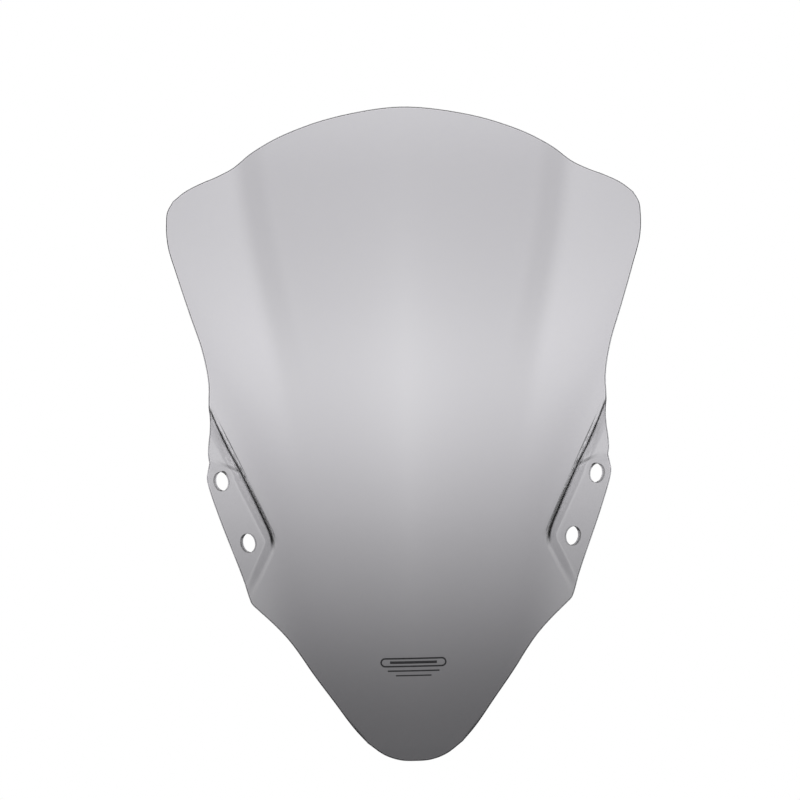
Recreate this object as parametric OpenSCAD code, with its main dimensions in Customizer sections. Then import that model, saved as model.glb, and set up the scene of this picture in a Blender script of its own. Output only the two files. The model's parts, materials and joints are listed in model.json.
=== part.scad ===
// Motorcycle windshield screen: one sheet of smoked acrylic, thermoformed to a crowned
// bubble with two flared ears and two stepped side tabs, each drilled for two fixings.
// X runs across the screen, Y from the outer face to the rider, Z up.
// The origin is the middle of the four fixing holes.

/* [Sheet] */
// Thickness of the acrylic sheet
sheet_t = 3; // [2:0.5:3.5]
// Diameter of the fixing holes
hole_d = 12; // [8:0.5:12]

/* [Crown] */
// How far the crest of the bubble stands in front of the fixing pattern
crown_depth = 55.5; // [54:0.5:57]
// Height of the crest above the fixing pattern
crest_z = 75; // [65:1:85]
// Radius of the bow from nose to top edge
bow_r = 500; // [450:10:600]

/* [Side tabs] */
// Half distance between the upper fixing holes
upper_hole_x = 118.5; // [117:0.5:119]
// Half distance between the lower fixing holes
lower_hole_x = 102; // [101:0.5:103]
// Height of the upper holes, and depth of the lower ones, from the middle of the pattern
hole_z = 19.5; // [19:0.5:20]
// Backward slope of a tab towards its outer edge
tab_slope_x = 0.79; // [0.77:0.01:0.81]
// Backward slope of a tab towards the top
tab_slope_z = -0.13; // [-0.15:0.01:-0.11]
// Width of the steep wall that steps down to a tab
step_w = 7.5; // [7:0.5:9]
// Width of the softer ramp below a tab
ramp_w = 9; // [8:0.5:10]
// How much deeper the upper web is than the tab, along the crease between them
crease_lip = 2.4; // [1.6:0.2:2.6]

/* [Printed mark] */
// Width of the printed ring
mark_w = 41; // [36:1:46]
// Height of the printed ring
mark_h = 6; // [5.5:0.5:7.5]
// Line width of the printed ring
mark_line = 1; // [0.6:0.1:1.2]
// Height of the middle of the printed ring
mark_z = -95; // [-100:1:-90]

/* [Hidden] */

// Smooth shapes along the height: [z, value]
crown_bend = [[-160, 0.0091], [-90, 0.0068], [0, 0.0057], [120, 0.0053], [255, 0.0053]];
crease_half = [[-160, 50], [-20, 52], [15, 56], [60, 64], [100, 72], [140, 81], [180, 89], [215, 94],
               [255, 98]];
crease_fold = [[-40, 0], [0, 0.02], [40, 0.11], [80, 0.27], [130, 0.42], [200, 0.52], [255, 0.52]];
// The soft valley beside each ear is about this wide
crease_w = 14;
// Fuller shoulders, fading out between these two heights
shoulder_gain = 5e-8;
shoulder_z = [20, 200];

// Trimmed outline, right half. The top edge and the nose are [x, z], the side is [z, x].
ear_x = 144.5;
ear_z = 196.2;
nose_x = 29.8;
nose_z = -147.5;
top_edge = [[-30, 248.6], [0, 251.7], [30, 248.6], [60, 241.4], [85, 231.2], [96, 224.6], [106, 216.6],
            [116, 211.4], [128, 206.6], [138, 201.4], [ear_x, ear_z]];
side_edge = [[nose_z, nose_x], [-140, 36.3], [-120, 50.6], [-100, 64.6], [-90, 71], [-80, 78.3], [-70, 87.8],
             [-62, 96.6], [-58.5, 100.3], [-55, 101.8], [-50, 103.4], [0, 121.8], [12, 125.8], [17, 127.2],
             [22, 127.9], [27, 127], [31, 126.3], [36, 126.7], [44, 126], [52, 124.6], [60, 123.6],
             [68, 124.3], [80, 123.9], [100, 127], [125, 134.9], [150, 142.8], [168, 148], [182, 148.9],
             [190, 148], [ear_z, ear_x]];
nose_edge = [[-10, -158.7], [0, -159.4], [10, -158.7], [20, -154.9], [nose_x, nose_z]];

// Lines of the step down to a tab, as [x, z] on the right half: the steep wall from the waist
// to the bottom of the pocket, and the ramp from there to the foot of the tab
step_top = [125.6, 68];
step_bottom = [82.5, -23];
ramp_top = [85.5, -23];
ramp_foot = [103.5, -58.5];
step_round = 2.4;
// The crease between the upper web and the tab: its height at crease_x, its slope there,
// and the height over which the web runs out into the waist
crease_x = 122;
crease_z = 31.5;
crease_tilt = 0.33;
web_h = 38;

// Rows of the sheet's grid: shares of the way down from the top edge, heights, and shares
// of the way down to the nose edge
ear_base_z = 165;
nose_base_z = -112;
top_rows = [0, 0.05, 0.14, 0.27, 0.42, 0.57, 0.72, 0.86];
mid_rows = concat([for (z = [165:-11.5:73]) z], [for (z = [67:-5:42]) z], [for (z = [38.5:-2.5:21]) z],
                  [for (z = [17:-6.5:-9]) z], [for (z = [-14.5:-4.5:-55]) z],
                  [-58.5, -62, -68, -76, -87, -99]);
nose_rows = [0, 0.2, 0.4, 0.6, 0.78, 0.91, 1];
// Columns beside the crease and beside the step, as distances outwards from each
by_crease = [-11, -3.5, 4, 11.5];
by_step = [-4, -1.2, 0.4, 1.8, 3.4, 5.6, 8.4];
inner_columns = 5;
// The step's line of columns stays this far inside the edge
step_margin = 12;
// Below this height the columns only narrow with the nose
foot_z = -62;

// The ink stands this far proud of the sheet and is keyed this far into it
ink_out = 0.15;
ink_in = 0.1;
// Plain bars of the print, as [length, height above the middle of the ring, line width]
mark_bars = [[29, 0, 1.6], [32, -5.4, 0.9], [22, -8.4, 0.8]];

tab_x = (upper_hole_x + lower_hole_x) / 2;
hole_spots = [[upper_hole_x, hole_z], [lower_hole_x, -hole_z]];

function mix(a, b, t) = a + (b - a) * t;
function limit(t) = min(max(t, 0), 1);
function ease(t) = let (s = limit(t)) s * s * (3 - 2 * s);
function soft_max(d, w) = (d + sqrt(d * d + w * w)) / 2;
// Zero below -r, d above r, and a parabola between
function onset(d, r) = d < -r ? 0 : d > r ? d : (d + r) * (d + r) / (4 * r);

// Smooth curve through the points of a table, with slopes taken from the neighbours
function slope_at(t, i) =
    i == 0 ? (t[1][1] - t[0][1]) / (t[1][0] - t[0][0]) :
    i == len(t) - 1 ? (t[i][1] - t[i - 1][1]) / (t[i][0] - t[i - 1][0]) :
    let (a = t[i][0] - t[i - 1][0], b = t[i + 1][0] - t[i][0],
         p = (t[i][1] - t[i - 1][1]) / a, q = (t[i + 1][1] - t[i][1]) / b)
    (p * b + q * a) / (a + b);
function span_of(t, x, i = 0) = i >= len(t) - 2 || x < t[i + 1][0] ? i : span_of(t, x, i + 1);
function curve(t, x) =
    let (i = span_of(t, x), h = t[i + 1][0] - t[i][0], s = (x - t[i][0]) / h)
    (2 * s * s * s - 3 * s * s + 1) * t[i][1] + (s * s * s - 2 * s * s + s) * h * slope_at(t, i)
    + (3 * s * s - 2 * s * s * s) * t[i + 1][1] + (s * s * s - s * s) * h * slope_at(t, i + 1);

// Depth of the crowned body, before the tabs are stepped into it
function valley(x, z) = let (c = curve(crease_half, z)) soft_max(x - c, crease_w) - soft_max(-c, crease_w);
function fold(z) = z < crease_fold[0][0] ? 0 : max(curve(crease_fold, z), 0);
function shoulders(z) = shoulder_gain * (1 - ease((z - shoulder_z[0]) / (shoulder_z[1] - shoulder_z[0])));
function body_y(x, z) =
    pow(z - crest_z, 2) / (2 * bow_r) - crown_depth
    + curve(crown_bend, z) * x * x / 2 + shoulders(z) * pow(x, 4) - fold(z) * valley(x, z);

// Distance of p outwards from the line that runs down from a to b, in the XZ plane
function beside(p, a, b) =
    let (d = (b - a) / norm(b - a)) (p[1] - a[1]) * d[0] - (p[0] - a[0]) * d[1];
// Share of the full step: a steep wall that runs out in a wide fillet, then the ramp
function wall_share(p) = 1 - pow(1 - limit(onset(beside(p, step_top, step_bottom), step_round) / step_w), 3);
function ramp_share(p) = ease(beside(p, ramp_top, ramp_foot) / ramp_w + 0.25);
function tab_y(x, z) = tab_slope_x * (x - tab_x) + tab_slope_z * z;
function above_crease(p) = p[1] - crease_z - crease_tilt * (p[0] - crease_x);
function web_lip(p) = crease_lip * ease(above_crease(p) / 6 + 1);
function web_share(p) = limit(1 - onset(above_crease(p) - 1, 3) / web_h);
function depth(x, z) =
    let (p = [abs(x), z], body = body_y(p[0], z), drop = tab_y(p[0], z) + web_lip(p) - body)
    body + wall_share(p) * ramp_share(p) * web_share(p) * onset(drop, 2);

// A point of the sheet, out along its normal from the middle of its thickness
function on_sheet(x, z, out) =
    let (e = 0.05,
         n = [depth(x + e, z) - depth(x - e, z), -2 * e, depth(x, z + e) - depth(x, z - e)])
    [x, depth(x, z), z] + n / norm(n) * out;

// Distances of the grid's columns from the middle plane at one height
function step_line(z) =
    let (wall = mix(step_top[0], step_bottom[0], (step_top[1] - z) / (step_top[1] - step_bottom[1])),
         ramp = mix(ramp_top[0], ramp_foot[0], (ramp_top[1] - z) / (ramp_top[1] - ramp_foot[1])))
    min(max(wall, ramp), curve(side_edge, z) - step_margin);
function columns_at(z) =
    let (c = curve(crease_half, z), s = step_line(z), edge = curve(side_edge, z),
         crease_end = c + by_crease[3], step_begin = s + by_step[0], step_finish = s + by_step[6])
    concat([for (i = [0:inner_columns - 1]) (c + by_crease[0]) * i / inner_columns],
           [for (d = by_crease) c + d],
           [for (t = [1 / 3, 2 / 3]) mix(crease_end, step_begin, t)],
           [for (d = by_step) s + d],
           [mix(step_finish, edge, 0.5), edge]);
foot_columns = columns_at(foot_z) / curve(side_edge, foot_z);
function columns(z) = z > foot_z ? columns_at(z) : foot_columns * curve(side_edge, z);
last = len(foot_columns) - 1;

// One row of [x, z] points on the right half
function top_row(t) =
    let (c = columns(mix(ear_z, ear_base_z, t)))
    [for (x = c) [x, mix(curve(top_edge, x / c[last] * ear_x), ear_base_z, t)]];
function mid_row(z) = [for (x = columns(z)) [x, z]];
function nose_row(t) =
    let (c = columns(mix(nose_base_z, nose_z, t)))
    [for (x = c) [x, mix(nose_base_z, curve(nose_edge, x / c[last] * nose_x), t)]];
half_rows = concat([for (t = top_rows) top_row(t)], [for (z = mid_rows) mid_row(z)],
                   [for (t = nose_rows) nose_row(t)]);

function full_row(half) = concat([for (j = [last:-1:1]) [-half[j][0], half[j][1]]], half);
rows = [for (h = half_rows) full_row(h)];
row_count = len(rows);
column_count = 2 * last + 1;

// Closed sheet between two copies of the grid
module formed_sheet() {
    outer = [for (r = rows, p = r) on_sheet(p[0], p[1], sheet_t / 2)];
    inner = [for (r = rows, p = r) on_sheet(p[0], p[1], -sheet_t / 2)];
    layer = row_count * column_count;
    rim = concat([for (j = [0:column_count - 1]) j],
                 [for (i = [1:row_count - 1]) i * column_count + column_count - 1],
                 [for (j = [column_count - 2:-1:0]) (row_count - 1) * column_count + j],
                 [for (i = [row_count - 2:-1:1]) i * column_count]);
    // Each cell is split so that the two halves mirror each other
    function cell(i, j) =
        let (a = i * column_count + j, b = a + 1, d = a + column_count, c = d + 1)
        j < last ? [[a, b, d], [b, c, d]] : [[a, b, c], [a, c, d]];
    cells = [for (i = [0:row_count - 2], j = [0:column_count - 2]) each cell(i, j)];
    walls = [for (k = [0:len(rim) - 1])
        let (a = rim[k], b = rim[(k + 1) % len(rim)])
        each [[a, a + layer, b], [b, a + layer, b + layer]]];
    polyhedron(concat(outer, inner),
               concat(cells, [for (f = cells) [f[0] + layer, f[2] + layer, f[1] + layer]], walls));
}

// Places its children on a tab, with +Z along the tab's outward normal
module on_tab(spot, side) {
    translate([side * spot[0], tab_y(spot[0], spot[1]), spot[1]])
        rotate([90, 0, 0])
        rotate([0, side * atan(tab_slope_x), 0])
        rotate([-atan(tab_slope_z * cos(atan(tab_slope_x))), 0, 0])
        children();
}

module screen_sheet() {
    color([0.45, 0.45, 0.47, 0.6])
    difference() {
        formed_sheet();
        for (spot = hole_spots, side = [-1, 1])
            on_tab(spot, side) cylinder(h = 4 * sheet_t, d = hole_d, center = true, $fn = 64);
    }
}

// Thin film of ink on the outer face between two lines of [x, z] points of equal count
module ink_band(upper, lower, closed) {
    n = len(upper);
    function layer(line, out) = [for (p = line) on_sheet(p[0], p[1], sheet_t / 2 + out)];
    points = concat(layer(upper, ink_out), layer(lower, ink_out),
                    layer(lower, -ink_in), layer(upper, -ink_in));
    sides = [for (i = [0:n - (closed ? 1 : 2)], k = [0:3])
        let (next = (i + 1) % n, below = (k + 1) % 4 * n,
             a = k * n + i, b = k * n + next, c = below + next, d = below + i)
        each [[a, b, d], [b, c, d]]];
    ends = closed ? [] : [[0, n, 2 * n], [0, 2 * n, 3 * n],
                          [n - 1, 4 * n - 1, 3 * n - 1], [n - 1, 3 * n - 1, 2 * n - 1]];
    polyhedron(points, concat(sides, ends));
}

// Points round a slot shape, clockwise from the left end as seen from the front
function slot_line(w, h, z) =
    let (r = h / 2)
    concat([for (a = [180:-15:90]) [r - w / 2 + r * cos(a), z + r * sin(a)]],
           [for (x = [r - w / 2 + 5:5:w / 2 - r - 2]) [x, z + r]],
           [for (a = [90:-15:-90]) [w / 2 - r + r * cos(a), z + r * sin(a)]],
           [for (x = [w / 2 - r - 5:-5:r - w / 2 + 2]) [x, z - r]],
           [for (a = [270:-15:195]) [r - w / 2 + r * cos(a), z + r * sin(a)]]);
function bar_line(w, z) = [for (i = [0:8]) [w * (i / 8 - 0.5), z]];

module printed_mark() {
    color([0.13, 0.13, 0.14]) {
        ink_band(slot_line(mark_w, mark_h, mark_z),
                 slot_line(mark_w - 2 * mark_line, mark_h - 2 * mark_line, mark_z), true);
        for (bar = mark_bars)
            ink_band(bar_line(bar[0], mark_z + bar[1] + bar[2] / 2),
                     bar_line(bar[0], mark_z + bar[1] - bar[2] / 2), false);
    }
}

screen_sheet();
printed_mark();
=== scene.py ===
"""Motorcycle windshield screen: smoked acrylic sheet with two stepped side tabs and a small printed mark.

The surface is the same as the part's: every length in the tables below is in millimetres,
and the meshes are made in metres in the shared frame.
"""

import json
import math

import bmesh
import bpy
import numpy as np
from mathutils import Matrix, Vector


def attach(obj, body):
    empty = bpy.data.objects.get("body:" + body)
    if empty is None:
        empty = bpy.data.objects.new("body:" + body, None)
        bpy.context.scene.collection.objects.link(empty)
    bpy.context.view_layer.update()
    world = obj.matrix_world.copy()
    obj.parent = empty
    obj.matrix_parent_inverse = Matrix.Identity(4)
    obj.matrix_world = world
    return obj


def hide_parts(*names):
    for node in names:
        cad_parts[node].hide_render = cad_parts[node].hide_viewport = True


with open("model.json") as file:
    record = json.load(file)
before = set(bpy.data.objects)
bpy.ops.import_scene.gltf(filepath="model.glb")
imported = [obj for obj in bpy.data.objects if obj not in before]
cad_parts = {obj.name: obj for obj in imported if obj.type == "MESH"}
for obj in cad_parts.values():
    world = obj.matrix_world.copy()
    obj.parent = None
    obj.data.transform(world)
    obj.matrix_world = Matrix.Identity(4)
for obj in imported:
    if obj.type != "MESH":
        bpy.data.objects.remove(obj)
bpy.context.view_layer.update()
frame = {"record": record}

# ---------------------------------------------------------------- dimensions, mm
SHEET_T = 3.0
CROWN_DEPTH, CREST_Z, BOW_R = 55.5, 75.0, 500.0
mounts = {mount["name"]: mount for mount in frame["record"]["mounts"]}
upper_hole, lower_hole = mounts["upper_right_hole"], mounts["lower_right_hole"]
HOLE_R = upper_hole["dims"]["r_mm"]
UPPER_HOLE_X, LOWER_HOLE_X = upper_hole["pos_m"][0] * 1000, lower_hole["pos_m"][0] * 1000
HOLE_Z = upper_hole["pos_m"][2] * 1000
TAB_X = (UPPER_HOLE_X + LOWER_HOLE_X) / 2
TAB_SLOPE_X, TAB_SLOPE_Z = 0.79, -0.13
STEP_W, RAMP_W, CREASE_LIP, STEP_ROUND = 7.5, 9.0, 2.4, 2.4
MARK_W, MARK_H, MARK_LINE, MARK_Z = 41.0, 6.0, 1.0, -95.0
# Plain bars of the mark, as (length, height above the middle of the ring, line width)
MARK_BARS = [(29, 0, 1.6), (32, -5.4, 0.9), (22, -8.4, 0.8)]

# Smooth tables along the height: (height, value). The valley beside an ear lies CREASE_HALF from the middle
CROWN_BEND = [(-160, 0.0091), (-90, 0.0068), (0, 0.0057), (120, 0.0053), (255, 0.0053)]
CREASE_HALF = [(-160, 50), (-20, 52), (15, 56), (60, 64), (100, 72), (140, 81), (180, 89), (215, 94),
               (255, 98)]
CREASE_FOLD = [(-40, 0), (0, 0.02), (40, 0.11), (80, 0.27), (130, 0.42), (200, 0.52), (255, 0.52)]
CREASE_W = 14.0
SHOULDER_GAIN, SHOULDER_Z = 5e-8, (20.0, 200.0)
# Trimmed outline, right half: the top edge and the nose as (x, z), the side as (z, x)
EAR_X, EAR_Z, NOSE_X, NOSE_Z = 144.5, 196.2, 29.8, -147.5
TOP_EDGE = [(-30, 248.6), (0, 251.7), (30, 248.6), (60, 241.4), (85, 231.2), (96, 224.6), (106, 216.6),
            (116, 211.4), (128, 206.6), (138, 201.4), (EAR_X, EAR_Z)]
SIDE_EDGE = [(NOSE_Z, NOSE_X), (-140, 36.3), (-120, 50.6), (-100, 64.6), (-90, 71), (-80, 78.3), (-70, 87.8),
             (-62, 96.6), (-58.5, 100.3), (-55, 101.8), (-50, 103.4), (0, 121.8), (12, 125.8), (17, 127.2),
             (22, 127.9), (27, 127), (31, 126.3), (36, 126.7), (44, 126), (52, 124.6), (60, 123.6),
             (68, 124.3), (80, 123.9), (100, 127), (125, 134.9), (150, 142.8), (168, 148), (182, 148.9),
             (190, 148), (EAR_Z, EAR_X)]
NOSE_EDGE = [(-10, -158.7), (0, -159.4), (10, -158.7), (20, -154.9), (NOSE_X, NOSE_Z)]
# Lines of the step down to a tab, as (x, z), and the crease above the tab
STEP_TOP, STEP_BOTTOM, RAMP_TOP, RAMP_FOOT = (125.6, 68.0), (82.5, -23.0), (85.5, -23.0), (103.5, -58.5)
CREASE_X, CREASE_Z, CREASE_TILT, WEB_H = 122.0, 31.5, 0.33, 38.0

# Line of painted shade along the step's wall, as (height, distance from the middle plane)
DARK_LINE = [(-26, 86), (-15, 87), (0, 93), (20, 102.5), (45, 115.5), (70, 126)]

# Half width of that line and of its soft edges, as (height, width)
FOLD_WIDE = [(-40, 0.3), (-24, 0.8), (-10, 1.1), (8, 0.95), (30, 0.6), (70, 0.35)]
FOLD_SOFT = [(-40, 0.9), (-5, 0.9), (20, 0.8), (70, 0.7)]

# Rows and columns of the grid, and how finely each gap is divided
EAR_BASE_Z, NOSE_BASE_Z, FOOT_Z = 165.0, -112.0, -62.0
TOP_ROWS = [0, 0.05, 0.14, 0.27, 0.42, 0.57, 0.72, 0.86]
MID_ROWS = ([165 - 11.5 * k for k in range(9)] + [67 - 5 * k for k in range(6)]
            + [38.5 - 2.5 * k for k in range(8)] + [17 - 6.5 * k for k in range(5)]
            + [-14.5 - 4.5 * k for k in range(10)]
            + [-58.5, -62, -68, -76, -87, -99])
NOSE_ROWS = [0, 0.2, 0.4, 0.6, 0.78, 0.91, 1]
BY_CREASE = [-11, -3.5, 4, 11.5]
BY_STEP = [-4, -1.2, 0.4, 1.8, 3.4, 5.6, 8.4]
INNER_COLUMNS, STEP_MARGIN = 5, 3.0
FINER = 4
STEP_SPAN, FOOT_SPAN = (-32, 74), (-60, 74)
STEP_PITCH, FOOT_PITCH, OPEN_PITCH = 0.8, 1.2, 4
RIM_R, BORE_ROUND = 0.6, 0.35
HOLE_PATCH_X, HOLE_PATCH_Z = 6.6, 8.0

# Painted light and shade in the sheet's colour: painted shade along the folds and on the bores' walls, a
# painted highlight on the ears with painted shade in the valley, the rim painted lighter; and the share let
# through at each height as (height, share), painted darker to the nose
FOLD_SHADE_DEPTH, CREASE_PAINTED_SHADE, BORE_PAINTED_SHADE = 0.994, 0.85, 0.85
EAR_PAINTED_HIGHLIGHT, RIM_PAINTED_LIFT = 0.115, 1.7
SMOKE_AND_SHADE_STOPS = [(-150, 0.11), (-100, 0.15), (-50, 0.27), (0, 0.38), (70, 0.6), (130, 0.55), (210, 0.5),
             (250, 0.6)]
SMOKE_AND_SHADE_LOW, SMOKE_AND_SHADE_HIGH = -160.0, 252.0
DYE_TINT = (1.0, 0.985, 1.03)


# ---------------------------------------------------------------- surface
def limit(t):
    return np.clip(t, 0, 1)


def ease(t):
    s = limit(t)
    return s * s * (3 - 2 * s)


def mix(a, b, t):
    return a + (b - a) * t


def soft_max(d, w):
    return (d + np.sqrt(d * d + w * w)) / 2


def onset(d, r):
    return np.where(d < -r, 0, np.where(d > r, d, (d + r) ** 2 / (4 * r)))


def curve(points, q):
    """Smooth curve through the points, with slopes taken from the neighbours."""
    xs, ys = np.array(points, float).T
    chord = np.diff(ys) / np.diff(xs)
    span = np.diff(xs)
    m = np.empty(len(xs))
    m[0], m[-1] = chord[0], chord[-1]
    m[1:-1] = (chord[:-1] * span[1:] + chord[1:] * span[:-1]) / (span[:-1] + span[1:])
    q = np.asarray(q, float)
    i = np.clip(np.searchsorted(xs, q, side="right") - 1, 0, len(xs) - 2)
    h = span[i]
    t = (q - xs[i]) / h
    return ((2 * t ** 3 - 3 * t ** 2 + 1) * ys[i] + (t ** 3 - 2 * t ** 2 + t) * h * m[i]
            + (3 * t ** 2 - 2 * t ** 3) * ys[i + 1] + (t ** 3 - t ** 2) * h * m[i + 1])


def body_y(x, z):
    c = curve(CREASE_HALF, z)
    valley = soft_max(x - c, CREASE_W) - soft_max(-c, CREASE_W)
    fold = np.where(z < CREASE_FOLD[0][0], 0, np.maximum(curve(CREASE_FOLD, z), 0))
    full = SHOULDER_GAIN * (1 - ease((z - SHOULDER_Z[0]) / (SHOULDER_Z[1] - SHOULDER_Z[0])))
    return ((z - CREST_Z) ** 2 / (2 * BOW_R) - CROWN_DEPTH + curve(CROWN_BEND, z) * x * x / 2
            + full * x ** 4 - fold * valley)


def beside(x, z, a, b):
    length = math.dist(a, b)
    dx, dz = (b[0] - a[0]) / length, (b[1] - a[1]) / length
    return (z - a[1]) * dx - (x - a[0]) * dz


def tab_y(x, z):
    return TAB_SLOPE_X * (x - TAB_X) + TAB_SLOPE_Z * z


def depth(x, z):
    """Depth of the middle of the sheet."""
    x = np.abs(np.asarray(x, float))
    z = np.asarray(z, float)
    body = body_y(x, z)
    above = z - CREASE_Z - CREASE_TILT * (x - CREASE_X)
    drop = tab_y(x, z) + CREASE_LIP * ease(above / 6 + 1) - body
    wall = 1 - (1 - limit(onset(beside(x, z, STEP_TOP, STEP_BOTTOM), STEP_ROUND) / STEP_W)) ** 3
    ramp = ease(beside(x, z, RAMP_TOP, RAMP_FOOT) / RAMP_W + 0.25)
    web = limit(1 - onset(above - 1, 3) / WEB_H)
    return body + wall * ramp * web * onset(drop, 2)


def normal(x, z):
    """Unit normal on the outer side."""
    e = 0.05
    across = depth(x + e, z) - depth(x - e, z)
    up = depth(x, z + e) - depth(x, z - e)
    n = np.stack([across, np.full(np.shape(x), -2 * e), up], -1)
    return n / np.linalg.norm(n, axis=-1, keepdims=True)


def on_sheet(x, z, out=0.0):
    x, z = np.asarray(x, float), np.asarray(z, float)
    return np.stack([x, depth(x, z), z], -1) + normal(x, z) * out


# ---------------------------------------------------------------- grid of the right half
def columns_at(z):
    c, edge = float(curve(CREASE_HALF, z)), float(curve(SIDE_EDGE, z))
    wall = mix(STEP_TOP[0], STEP_BOTTOM[0], (STEP_TOP[1] - z) / (STEP_TOP[1] - STEP_BOTTOM[1]))
    ramp = mix(RAMP_TOP[0], RAMP_FOOT[0], (RAMP_TOP[1] - z) / (RAMP_TOP[1] - RAMP_FOOT[1]))
    s = min(max(wall, ramp), edge - STEP_MARGIN)
    squeeze = min((edge - s - 1.2) / (BY_STEP[6] + 2.4), 1)
    by_step = [s + d * (squeeze if d > 0 else 1) for d in BY_STEP]
    inner = [(c + BY_CREASE[0]) * k / INNER_COLUMNS for k in range(INNER_COLUMNS)]
    between = [mix(c + BY_CREASE[3], s + BY_STEP[0], t) for t in (1 / 3, 2 / 3)]
    by_crease = [c + d for d in BY_CREASE]
    return inner + by_crease + between + by_step + [mix(by_step[6], edge, 0.5), edge]


def columns(z):
    coarse = np.array(columns_at(z if z > FOOT_Z else FOOT_Z))
    if z <= FOOT_Z:
        coarse = coarse / curve(SIDE_EDGE, FOOT_Z) * curve(SIDE_EDGE, z)
    return finer(coarse)


def finer(values, steps=None):
    """The same run of values with FINER steps in each gap, or with the steps given for each."""
    values = np.asarray(values, float)
    steps = [FINER] * (len(values) - 1) if steps is None else steps
    k = np.concatenate([i + np.arange(n) / n for i, n in enumerate(steps)] + [[len(values) - 1]])
    return np.interp(k, np.arange(len(values)), values)


def row_pitch(z):
    """Spacing of the rows below height z: closest beside the step, wide on the open sheet."""
    if STEP_SPAN[0] < z < STEP_SPAN[1]:
        return STEP_PITCH
    return FOOT_PITCH if FOOT_SPAN[0] < z < FOOT_SPAN[1] else OPEN_PITCH


def half_grid():
    rows = []
    for t in finer(TOP_ROWS + [1])[:-1]:
        x = columns(mix(EAR_Z, EAR_BASE_Z, t))
        rows.append(np.stack([x, mix(curve(TOP_EDGE, x / x[-1] * EAR_X), EAR_BASE_Z, t)], -1))
    levels = MID_ROWS + [NOSE_BASE_Z]
    steps = [max(3, round((a - b) / row_pitch(a))) for a, b in zip(levels, levels[1:])]
    for z in finer(levels, steps)[:-1]:
        x = columns(z)
        rows.append(np.stack([x, np.full(len(x), z)], -1))
    for t in finer(NOSE_ROWS):
        x = columns(mix(NOSE_BASE_Z, NOSE_Z, t))
        rows.append(np.stack([x, mix(NOSE_BASE_Z, curve(NOSE_EDGE, x / x[-1] * NOSE_X), t)], -1))
    return np.array(rows)


def drawn_in(grid):
    """The grid with its outline moved in along the sheet by the rim's radius."""
    top, side, nose = grid[0], grid[:, -1], grid[-1]
    loop = np.concatenate([top[:-1], side, nose[-2::-1]])
    p = on_sheet(loop[:, 0], loop[:, 1])
    along = np.gradient(p, axis=0)
    along[0] = along[-1] = [1, 0, 0]
    along[-1] = [-1, 0, 0]
    inward = np.cross(normal(loop[:, 0], loop[:, 1]), along)
    inward /= np.linalg.norm(inward, axis=1, keepdims=True)
    towards = np.array([0, 0, 60.0]) - p
    inward *= np.sign((inward * towards).sum(1, keepdims=True))
    step = (inward * RIM_R)[:, [0, 2]]
    wide, tall = grid.shape[1], grid.shape[0]
    d_top, d_side = step[:wide], step[wide - 1:wide - 1 + tall]
    d_nose = step[wide + tall - 2:][::-1]
    u = limit((np.arange(wide) - (wide - 1 - 2 * FINER)) / (2 * FINER))[None, :, None]
    v = limit(1 - np.arange(tall) / (2 * FINER))[:, None, None]
    w = limit((np.arange(tall) - (tall - 1 - 2 * FINER)) / (2 * FINER))[:, None, None]
    field = (v * d_top[None] + w * d_nose[None] + u * d_side[:, None]
             - u * v * d_top[-1] - u * w * d_nose[-1])
    return grid + field


def hole_frame(spot):
    """Centre, outward normal and two directions in the plane of a right-hand tab at one hole."""
    c = np.array([spot[0], float(tab_y(*spot)), spot[1]])
    n = np.array([TAB_SLOPE_X, -1, TAB_SLOPE_Z])
    n = n / np.linalg.norm(n)
    b = np.array([0, 0, 1]) - n * n[2]
    b = b / np.linalg.norm(b)
    return c, n, np.cross(b, n), b


def on_circle(spot, radius, angles, out, side):
    """Points of a face of the sheet on a circular cylinder round a hole's axis, and the normals there."""
    c, n, a, b = hole_frame(spot)
    want = np.stack([np.cos(angles), np.sin(angles)], -1) * np.reshape(radius, (-1, 1))
    x = c[0] + want[:, 0] * a[0] + want[:, 1] * b[0]
    z = c[2] + want[:, 0] * a[2] + want[:, 1] * b[2]
    for _ in range(12):
        p = on_sheet(x, z, out) - c
        miss = want - np.stack([p @ a, p @ b], -1)
        x = x + miss[:, 0] * a[0] + miss[:, 1] * b[0]
        z = z + miss[:, 0] * a[2] + miss[:, 1] * b[2]
    return on_sheet(x, z, out) * [side, 1, 1], normal(x, z) * [side, 1, 1] * np.sign(out)


# ---------------------------------------------------------------- sheet
class Builder:
    def __init__(self):
        self.points, self.normals, self.shades, self.painted_lifts = [], [], [], []
        self.faces, self.count = [], 0

    def add(self, p, normals=None, shade=0.0, painted_lift=1.0):
        p = np.asarray(p, float).reshape(-1, 3)
        self.points.append(p)
        self.normals.append(np.zeros(p.shape) if normals is None else normals)
        self.shades.append(np.full(len(p), shade))
        self.painted_lifts.append(np.full(len(p), painted_lift))
        first = self.count
        self.count += len(p)
        return np.arange(first, self.count)

    def strip(self, a, b, closed=False):
        """Quads between two lines of equal count."""
        n = len(a)
        for k in range(n if closed else n - 1):
            j = (k + 1) % n
            self.faces.append((a[k], a[j], b[j], b[k]))

    def mesh(self, name, with_painted_light_and_shade=False):
        points = np.concatenate(self.points)
        data = bpy.data.meshes.new(name)
        data.from_pydata((points / 1000).tolist(), [], [tuple(int(i) for i in f) for f in self.faces])
        data.validate()
        data.shade_smooth()
        if with_painted_light_and_shade:
            # Painted light and shade, kept as a point attribute that scales the sheet's colour
            front = np.concatenate(self.normals)[:, 1] < 0
            shade = np.maximum(fold_shade(points[:, 0], points[:, 2], front), np.concatenate(self.shades))
            scale = (1 - FOLD_SHADE_DEPTH * shade) * (1 + EAR_PAINTED_HIGHLIGHT * ear_highlight_and_valley_shade(points[:, 0], points[:, 2]))
            layer = data.attributes.new("painted_light_and_shade", "FLOAT", "POINT")
            layer.data.foreach_set("value", (scale * np.concatenate(self.painted_lifts)).astype(np.float32))
        return bpy.data.objects.new(name, data)


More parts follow.
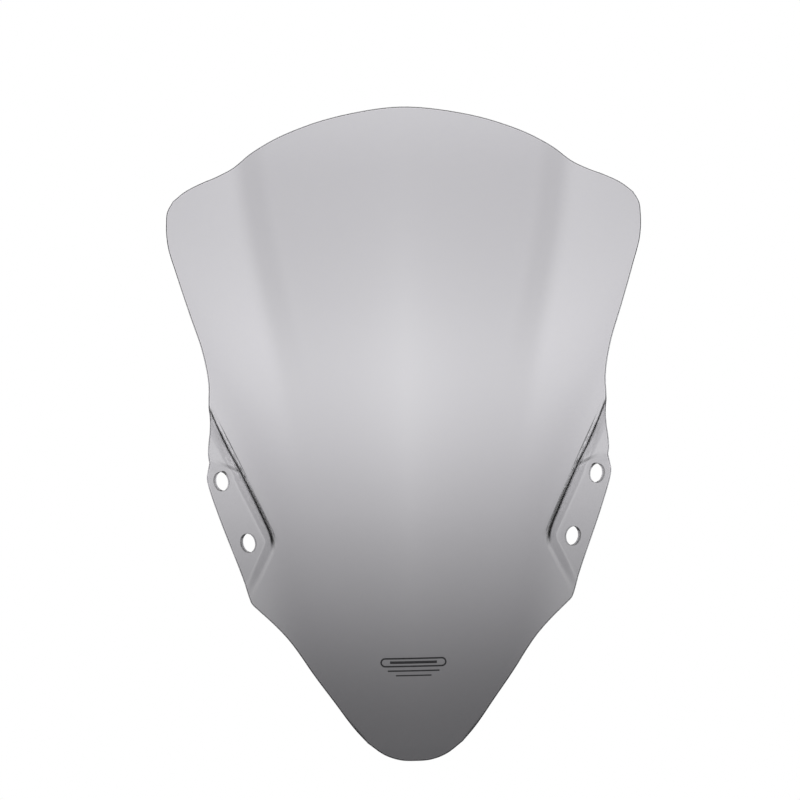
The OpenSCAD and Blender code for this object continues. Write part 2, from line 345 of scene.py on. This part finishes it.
def build_sheet():
    half = drawn_in(half_grid())
    tall, wide = half.shape[:2]
    left = half[:, :0:-1] * [-1, 1]
    grid = np.concatenate([left, half], axis=1)
    last = grid.shape[1] - 1
    middle = wide - 1
    made = Builder()
    holes = []
    for spot in [(UPPER_HOLE_X, HOLE_Z), (LOWER_HOLE_X, -HOLE_Z)]:
        row = int(np.argmin(np.abs(grid[:, middle, 1] - spot[1])))
        j0 = int(np.searchsorted(grid[row, :, 0], spot[0] - HOLE_PATCH_X)) - 1
        j1 = min(int(np.searchsorted(grid[row, :, 0], spot[0] + HOLE_PATCH_X)), last - 1)
        i0 = int(np.searchsorted(-grid[:, middle, 1], -(spot[1] + HOLE_PATCH_Z))) - 1
        i1 = int(np.searchsorted(-grid[:, middle, 1], -(spot[1] - HOLE_PATCH_Z)))
        holes.append((spot, 1, i0, i1, j0, j1))
        holes.append((spot, -1, i0, i1, last - j1, last - j0))
    cut = np.zeros((tall, last + 1), bool)
    for _, _, i0, i1, j0, j1 in holes:
        cut[i0:i1, j0:j1] = True

    faces_at = {}
    for side, out in (("outer", SHEET_T / 2), ("inner", -SHEET_T / 2)):
        flat = grid.reshape(-1, 2)
        ids = made.add(on_sheet(flat[:, 0], flat[:, 1], out), normal(flat[:, 0], flat[:, 1]) * np.sign(out))
        ids = ids.reshape(tall, last + 1)
        faces_at[side] = ids
        for i in range(tall - 1):
            for j in range(last):
                if not cut[i, j]:
                    q = (ids[i, j], ids[i, j + 1], ids[i + 1, j + 1], ids[i + 1, j])
                    made.faces.append(q[::-1] if side == "outer" else q)

    # Rounded, polished rim
    outer, inner = faces_at["outer"], faces_at["inner"]

    def loop(ids):
        return np.concatenate([ids[0, :-1], ids[:-1, -1], ids[-1, :0:-1], ids[:0:-1, 0]])

    edge = loop(np.arange(grid.shape[0] * grid.shape[1]).reshape(tall, last + 1))
    flat = grid.reshape(-1, 2)[edge]
    centre, n = on_sheet(flat[:, 0], flat[:, 1]), normal(flat[:, 0], flat[:, 1])
    along = np.roll(centre, -1, 0) - np.roll(centre, 1, 0)
    away = np.cross(along, n)
    away /= np.linalg.norm(away, axis=1, keepdims=True)
    if (away[0] * (centre[0] - [0, 0, 60])).sum() < 0:
        away = -away
    previous = loop(outer)
    for a in np.linspace(90, -90, 15)[1:-1]:
        s, c = math.sin(math.radians(a)), math.cos(math.radians(a))
        turn = n * (SHEET_T / 2 * math.copysign(abs(s) ** 0.8, s)) + away * (RIM_R * c ** 0.8)
        # Painted light: the rim's colour is lifted so its rounded edge shows less dark
        ring = made.add(centre + turn, painted_lift=RIM_PAINTED_LIFT)
        made.strip(previous, ring, closed=True)
        previous = ring
    made.strip(previous, loop(inner), closed=True)

    # Holes: a fan of rings from the grid to a round, softened bore
    for spot, side, i0, i1, j0, j1 in holes:
        c, _, a, b = hole_frame(spot)
        bores = []
        for face, out in (("outer", SHEET_T / 2), ("inner", -SHEET_T / 2)):
            ids = faces_at[face]
            border, spots = [np.concatenate([g[i0, j0:j1], g[i0:i1, j1], g[i1, j1:j0:-1], g[i1:i0:-1, j0]])
                             for g in (ids, grid)]
            p = on_sheet(spots[:, 0] * side, spots[:, 1], out) - c
            angle = np.unwrap(np.arctan2(p @ b, p @ a))
            far = np.hypot(p @ a, p @ b)
            rings = [border]
            for t in (0.3, 0.58, 0.8, 0.94):
                r = mix(far, HOLE_R + BORE_ROUND, t)
                rings.append(made.add(*on_circle(spot, r, angle, out, side)))
            for u, v in zip(rings, rings[1:]):
                made.strip(u, v, closed=True)
            double = np.interp(np.arange(2 * len(angle)) / 2, np.arange(len(angle) + 1),
                               np.append(angle, angle[0] + 2 * math.pi * np.sign(angle[1] - angle[0])))
            first = made.add(*on_circle(spot, HOLE_R + BORE_ROUND, double, out, side))
            u = rings[-1]
            for k in range(len(u)):
                j = (k + 1) % len(u)
                after = first[(2 * k + 2) % len(first)]
                made.faces.append((u[k], u[j], after, first[2 * k + 1], first[2 * k]))
            rings = [first]
            # The bore's rounded edge, with painted shade on its wall towards the outer face
            for t in (30, 60, 90):
                s, co = math.sin(math.radians(t)), math.cos(math.radians(t))
                deep = out * (1 - BORE_ROUND * (1 - co) / abs(out))
                shade = BORE_PAINTED_SHADE * s if face == "outer" else 0.0
                round_off = on_circle(spot, HOLE_R + BORE_ROUND * (1 - s), double, deep, side)[0]
                rings.append(made.add(round_off, shade=shade))
            if face == "outer":
                rings.append(made.add(on_circle(spot, HOLE_R, double, 0.1, side)[0], shade=BORE_PAINTED_SHADE))
            for u, v in zip(rings, rings[1:]):
                made.strip(u, v, closed=True)
            bores.append(rings[-1])
        made.strip(bores[0], bores[1], closed=True)
    return made


def tidy_normals(obj, exact=None):
    """Faces outwards everywhere, and the surface's own normals where they are known."""
    bm = bmesh.new()
    bm.from_mesh(obj.data)
    bmesh.ops.recalc_face_normals(bm, faces=bm.faces)
    bm.to_mesh(obj.data)
    bm.free()
    if exact is not None:
        obj.data.normals_split_custom_set_from_vertices(exact.tolist())


def band(d, half_width, soft):
    """1 within half_width of d = 0, falling smoothly to 0 over the next soft millimetres."""
    return ease((half_width + soft - np.abs(d)) / soft)


def fold_shade(x, z, front):
    """Painted shade, 1 along the sharpest folds of the outer face: the step's wall and the crease above a
    tab.
    """
    x = np.abs(x)
    low = np.clip(z, -40, 70)
    wide, soft = curve(FOLD_WIDE, low), curve(FOLD_SOFT, low)
    middle = curve(DARK_LINE, np.clip(z, -26, 70))
    wall = band(x - middle, wide, soft) * ease((z + 26) / 8) * ease((72 - z) / 8)
    above = z - CREASE_Z - CREASE_TILT * (x - CREASE_X)
    crease = band(above + 0.6 - 0.06 * (x - 104), 0.5, 1.1) * ease((x - 103) / 2) * ease((124 - x) / 14)
    return np.maximum(wall, crease * CREASE_PAINTED_SHADE) * front


def ear_highlight_and_valley_shade(x, z):
    """Painted highlight and shade: 1 on the flared ears, 0 on the crown and less in the valley between."""
    past = np.abs(x) - curve(CREASE_HALF, np.clip(z, -160, 255))
    ear = ease((past - 4) / 13) * (1 - 0.35 * ease((past - 10) / 50)) * ease(z / 130)
    return ear - 0.55 * band(past - 1, 2, 10) * ease((z - 60) / 90)


sheet_made = build_sheet()
sheet = sheet_made.mesh("screen_sheet_polished", with_painted_light_and_shade=True)
bpy.context.scene.collection.objects.link(sheet)
tidy_normals(sheet, np.concatenate(sheet_made.normals))


# ---------------------------------------------------------------- printed mark
def slot_line(w, h, z, n=16):
    r = h / 2
    end = np.linspace(90, -90, n)
    line = np.linspace(r - w / 2, w / 2 - r, 25)
    pts = [(x, z + r) for x in line[:-1]]
    pts += [(w / 2 - r + r * math.cos(math.radians(a)), z + r * math.sin(math.radians(a))) for a in end]
    pts += [(x, z - r) for x in line[-2:0:-1]]
    pts += [(r - w / 2 - r * math.cos(math.radians(a)), z - r * math.sin(math.radians(a))) for a in end]
    return np.array(pts)


def film(made, outer, inner, closed):
    """A thin film of ink between two lines, with its shoulders rounded off."""
    across = inner - outer
    span = np.linalg.norm(across, axis=1, keepdims=True)
    unit = across / span
    profile = [(0, -0.1), (0, 0.07), (0.03, 0.12), (0.08, 0.15)]
    lines = [(outer + unit * d, o) for d, o in profile] + [(inner - unit * d, o) for d, o in profile[::-1]]
    rings = [made.add(on_sheet(p[:, 0], p[:, 1], SHEET_T / 2 + o)) for p, o in lines]
    for a, b in zip(rings, rings[1:] + rings[:1]):
        made.strip(a, b, closed)
    if not closed:
        made.faces.append(tuple(r[0] for r in rings))
        made.faces.append(tuple(r[-1] for r in rings[::-1]))


ink_pieces = []
made = Builder()
ring_outside = slot_line(MARK_W, MARK_H, MARK_Z)
ring_inside = slot_line(MARK_W - 2 * MARK_LINE, MARK_H - 2 * MARK_LINE, MARK_Z)
film(made, ring_outside, ring_inside, True)
ink_pieces.append(made.mesh("mark_ring"))
for index, (w, dz, line) in enumerate(MARK_BARS):
    made = Builder()
    x = np.linspace(-w / 2, w / 2, 33)
    z = MARK_Z + dz
    above, below = [np.stack([x, np.full(33, z + d)], -1) for d in (line / 2, -line / 2)]
    film(made, above, below, False)
    ink_pieces.append(made.mesh(f"mark_bar_{index + 1}"))
for piece in ink_pieces:
    bpy.context.scene.collection.objects.link(piece)
    tidy_normals(piece)


# ---------------------------------------------------------------- materials
def node_of(tree, kind, **values):
    n = tree.nodes.new(kind)
    for key, value in values.items():
        setattr(n, key, value)
    return n


def acrylic():
    mat = bpy.data.materials.new("smoked_acrylic")
    mat.use_nodes = True
    tree = mat.node_tree
    shader = tree.nodes["Principled BSDF"]
    shader.inputs["Transmission Weight"].default_value = 1.0
    shader.inputs["IOR"].default_value = 1.49
    shader.inputs["Roughness"].default_value = 0.03
    place = node_of(tree, "ShaderNodeTexCoord")
    split = node_of(tree, "ShaderNodeSeparateXYZ")
    tree.links.new(place.outputs["Object"], split.inputs[0])
    # Smoked tint by height, with painted shade that darkens it towards the nose
    height = node_of(tree, "ShaderNodeMapRange")
    height.inputs["From Min"].default_value = SMOKE_AND_SHADE_LOW / 1000
    height.inputs["From Max"].default_value = SMOKE_AND_SHADE_HIGH / 1000
    tree.links.new(split.outputs["Z"], height.inputs["Value"])
    ramp = node_of(tree, "ShaderNodeValToRGB")
    ramp.color_ramp.interpolation = "B_SPLINE"
    elements = ramp.color_ramp.elements
    while len(elements) < len(SMOKE_AND_SHADE_STOPS):
        elements.new(1.0)
    for element, (z, value) in zip(elements, SMOKE_AND_SHADE_STOPS):
        element.position = (z - SMOKE_AND_SHADE_LOW) / (SMOKE_AND_SHADE_HIGH - SMOKE_AND_SHADE_LOW)
        element.color = (*[value * share for share in DYE_TINT], 1)
    tree.links.new(height.outputs["Result"], ramp.inputs["Fac"])
    # Painted light and shade from the mesh's attribute, scaling the smoked tint
    share = node_of(tree, "ShaderNodeAttribute", attribute_name="painted_light_and_shade")
    smoke_and_shade = node_of(tree, "ShaderNodeVectorMath", operation="SCALE")
    tree.links.new(ramp.outputs["Color"], smoke_and_shade.inputs["Vector"])
    tree.links.new(share.outputs["Fac"], smoke_and_shade.inputs["Scale"])
    tree.links.new(smoke_and_shade.outputs["Vector"], shader.inputs["Base Color"])
    return mat


def ink():
    mat = bpy.data.materials.new("ink")
    mat.use_nodes = True
    tree = mat.node_tree
    shader = tree.nodes["Principled BSDF"]
    shader.inputs["Roughness"].default_value = 0.6
    shader.inputs["Specular IOR Level"].default_value = 0.25
    noise = node_of(tree, "ShaderNodeTexNoise")
    noise.inputs["Scale"].default_value = 900
    noise.inputs["Detail"].default_value = 4
    place = node_of(tree, "ShaderNodeTexCoord")
    tree.links.new(place.outputs["Object"], noise.inputs["Vector"])
    ramp = node_of(tree, "ShaderNodeValToRGB")
    tones = [(0.35, (0.006, 0.006, 0.007, 1)), (0.7, (0.016, 0.016, 0.018, 1))]
    for element, (position, tone) in zip(ramp.color_ramp.elements, tones):
        element.position = position
        element.color = tone
    tree.links.new(noise.outputs["Fac"], ramp.inputs["Fac"])
    tree.links.new(ramp.outputs["Color"], shader.inputs["Base Color"])
    return mat


sheet.data.materials.append(acrylic())
ink_paint = ink()
for piece in ink_pieces:
    piece.data.materials.append(ink_paint)

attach(sheet, "root")
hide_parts("screen_sheet")
for piece in ink_pieces:
    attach(piece, "root")
    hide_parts("printed_mark")


# ---------------------------------------------------------------- stage
def plane(name, size, place, turn=(0, 0, 0)):
    w, h = size[0] / 2, size[1] / 2
    data = bpy.data.meshes.new(name)
    data.from_pydata([(-w, -h, 0), (w, -h, 0), (w, h, 0), (-w, h, 0)], [], [(0, 1, 2, 3)])
    obj = bpy.data.objects.new(name, data)
    obj.location, obj.rotation_euler = place, turn
    bpy.context.scene.collection.objects.link(obj)
    return obj


floor = plane("floor", (2.3, 2.3), (0, 0, -0.33))
pale = bpy.data.materials.new("floor_pale")
pale.use_nodes = True
paint = pale.node_tree.nodes["Principled BSDF"]
paint.inputs["Base Color"].default_value = (0.85, 0.85, 0.85, 1)
paint.inputs["Roughness"].default_value = 0.8
paint.inputs["Emission Color"].default_value = (1, 1, 1, 1)
paint.inputs["Emission Strength"].default_value = 0.55
floor.data.materials.append(pale)
floor.visible_transmission = floor.visible_glossy = False


def soft_light(name, place, aim, size, power):
    light = bpy.data.lights.new(name, "AREA")
    light.shape, light.size, light.size_y, light.energy = "RECTANGLE", size[0], size[1], power
    obj = bpy.data.objects.new(name, light)
    obj.location = place
    obj.rotation_euler = (Vector(aim) - Vector(place)).to_track_quat("-Z", "Y").to_euler()
    obj.visible_camera = obj.visible_transmission = obj.visible_glossy = False
    bpy.context.scene.collection.objects.link(obj)
    return obj


soft_light("key", (-1.2, -1.6, 1.6), (0, 0, 0), (1.4, 1.4), 24)
soft_light("fill", (1.6, -1.4, 0.8), (0, 0, 0), (1.2, 1.6), 12)

# ---------------------------------------------------------------- world
world = bpy.data.worlds.new("studio")
bpy.context.scene.world = world
world.use_nodes = True
tree = world.node_tree
back = tree.nodes["Background"]
back.inputs["Color"].default_value = (1, 1, 1, 1)
place = node_of(tree, "ShaderNodeTexCoord")
split = node_of(tree, "ShaderNodeSeparateXYZ")
tree.links.new(place.outputs["Generated"], split.inputs[0])
path = node_of(tree, "ShaderNodeLightPath")


def maths(operation, *sources):
    n = node_of(tree, "ShaderNodeMath", operation=operation)
    for socket, source in zip(n.inputs, sources):
        if isinstance(source, (int, float)):
            socket.default_value = source
        else:
            tree.links.new(source, socket)
    return n.outputs[0]


def ranged(source, from_min, from_max, to_min, to_max):
    n = node_of(tree, "ShaderNodeMapRange", interpolation_type="SMOOTHSTEP")
    for key, value in zip(("From Min", "From Max", "To Min", "To Max"), (from_min, from_max, to_min, to_max)):
        n.inputs[key].default_value = value
    tree.links.new(source, n.inputs["Value"])
    return n.outputs["Result"]


x, y, z = split.outputs["X"], split.outputs["Y"], split.outputs["Z"]
# Seen through the sheet: white cards straight behind and a white floor, dark between them
card = ranged(maths("MAXIMUM", maths("ABSOLUTE", x), maths("ABSOLUTE", y)), 0.935, 0.985, 0.85, 1.0)
through = maths("MAXIMUM", card, ranged(z, -0.17, -0.07, 1.0, 0.85))
# Mirrored in the sheet: a large softbox round the camera, two strips at the sides and a dim dome above
aside = maths("MULTIPLY", maths("ABSOLUTE", x), 1.5)
above = maths("MULTIPLY", maths("MULTIPLY", z, z), 5.0)
fading = maths("POWER", 2.718, maths("MULTIPLY", maths("ADD", aside, above), -1.0))
softbox = maths("MULTIPLY", fading, ranged(y, -0.75, -0.25, 3.0, 0.0))
strip = maths("MULTIPLY", ranged(y, -0.5, 0.0, 0.0, 1.0), ranged(y, 0.1, 0.4, 1.0, 0.0))
strips = maths("MULTIPLY", strip, ranged(maths("ABSOLUTE", x), 0.6, 0.9, 0.0, 1.6))
tent = maths("ADD", maths("ADD", softbox, strips), ranged(z, 0.1, 0.9, 0.06, 0.6))


def pick(gate, when_not, when):
    n = node_of(tree, "ShaderNodeMix", data_type="FLOAT")
    tree.links.new(gate, n.inputs["Factor"])
    for socket, source in (("A", when_not), ("B", when)):
        if isinstance(source, (int, float)):
            n.inputs[socket].default_value = source
        else:
            tree.links.new(source, n.inputs[socket])
    return n.outputs["Result"]


strength = pick(path.outputs["Is Transmission Ray"], tent, through)
tree.links.new(pick(path.outputs["Is Camera Ray"], strength, 1.0), back.inputs["Strength"])

# ---------------------------------------------------------------- camera
camera_data = bpy.data.cameras.new("camera")
camera_data.lens, camera_data.sensor_width = 160.5, 36
camera = bpy.data.objects.new("camera", camera_data)
camera.location = (-0.0047, -2.2555, 0.0685)
look = Matrix.Rotation(math.radians(90), 4, "X") @ Matrix.Rotation(math.radians(-1.3), 4, "Z")
camera.rotation_euler = look.to_euler()
camera_data.clip_start, camera_data.clip_end = 0.05, 100
bpy.context.scene.collection.objects.link(camera)
bpy.context.scene.camera = camera

scene = bpy.context.scene
scene.view_settings.view_transform = "Standard"
scene.cycles.max_bounces = 24
scene.cycles.transmission_bounces = 20
scene.cycles.glossy_bounces = 12
scene.cycles.diffuse_bounces = 3
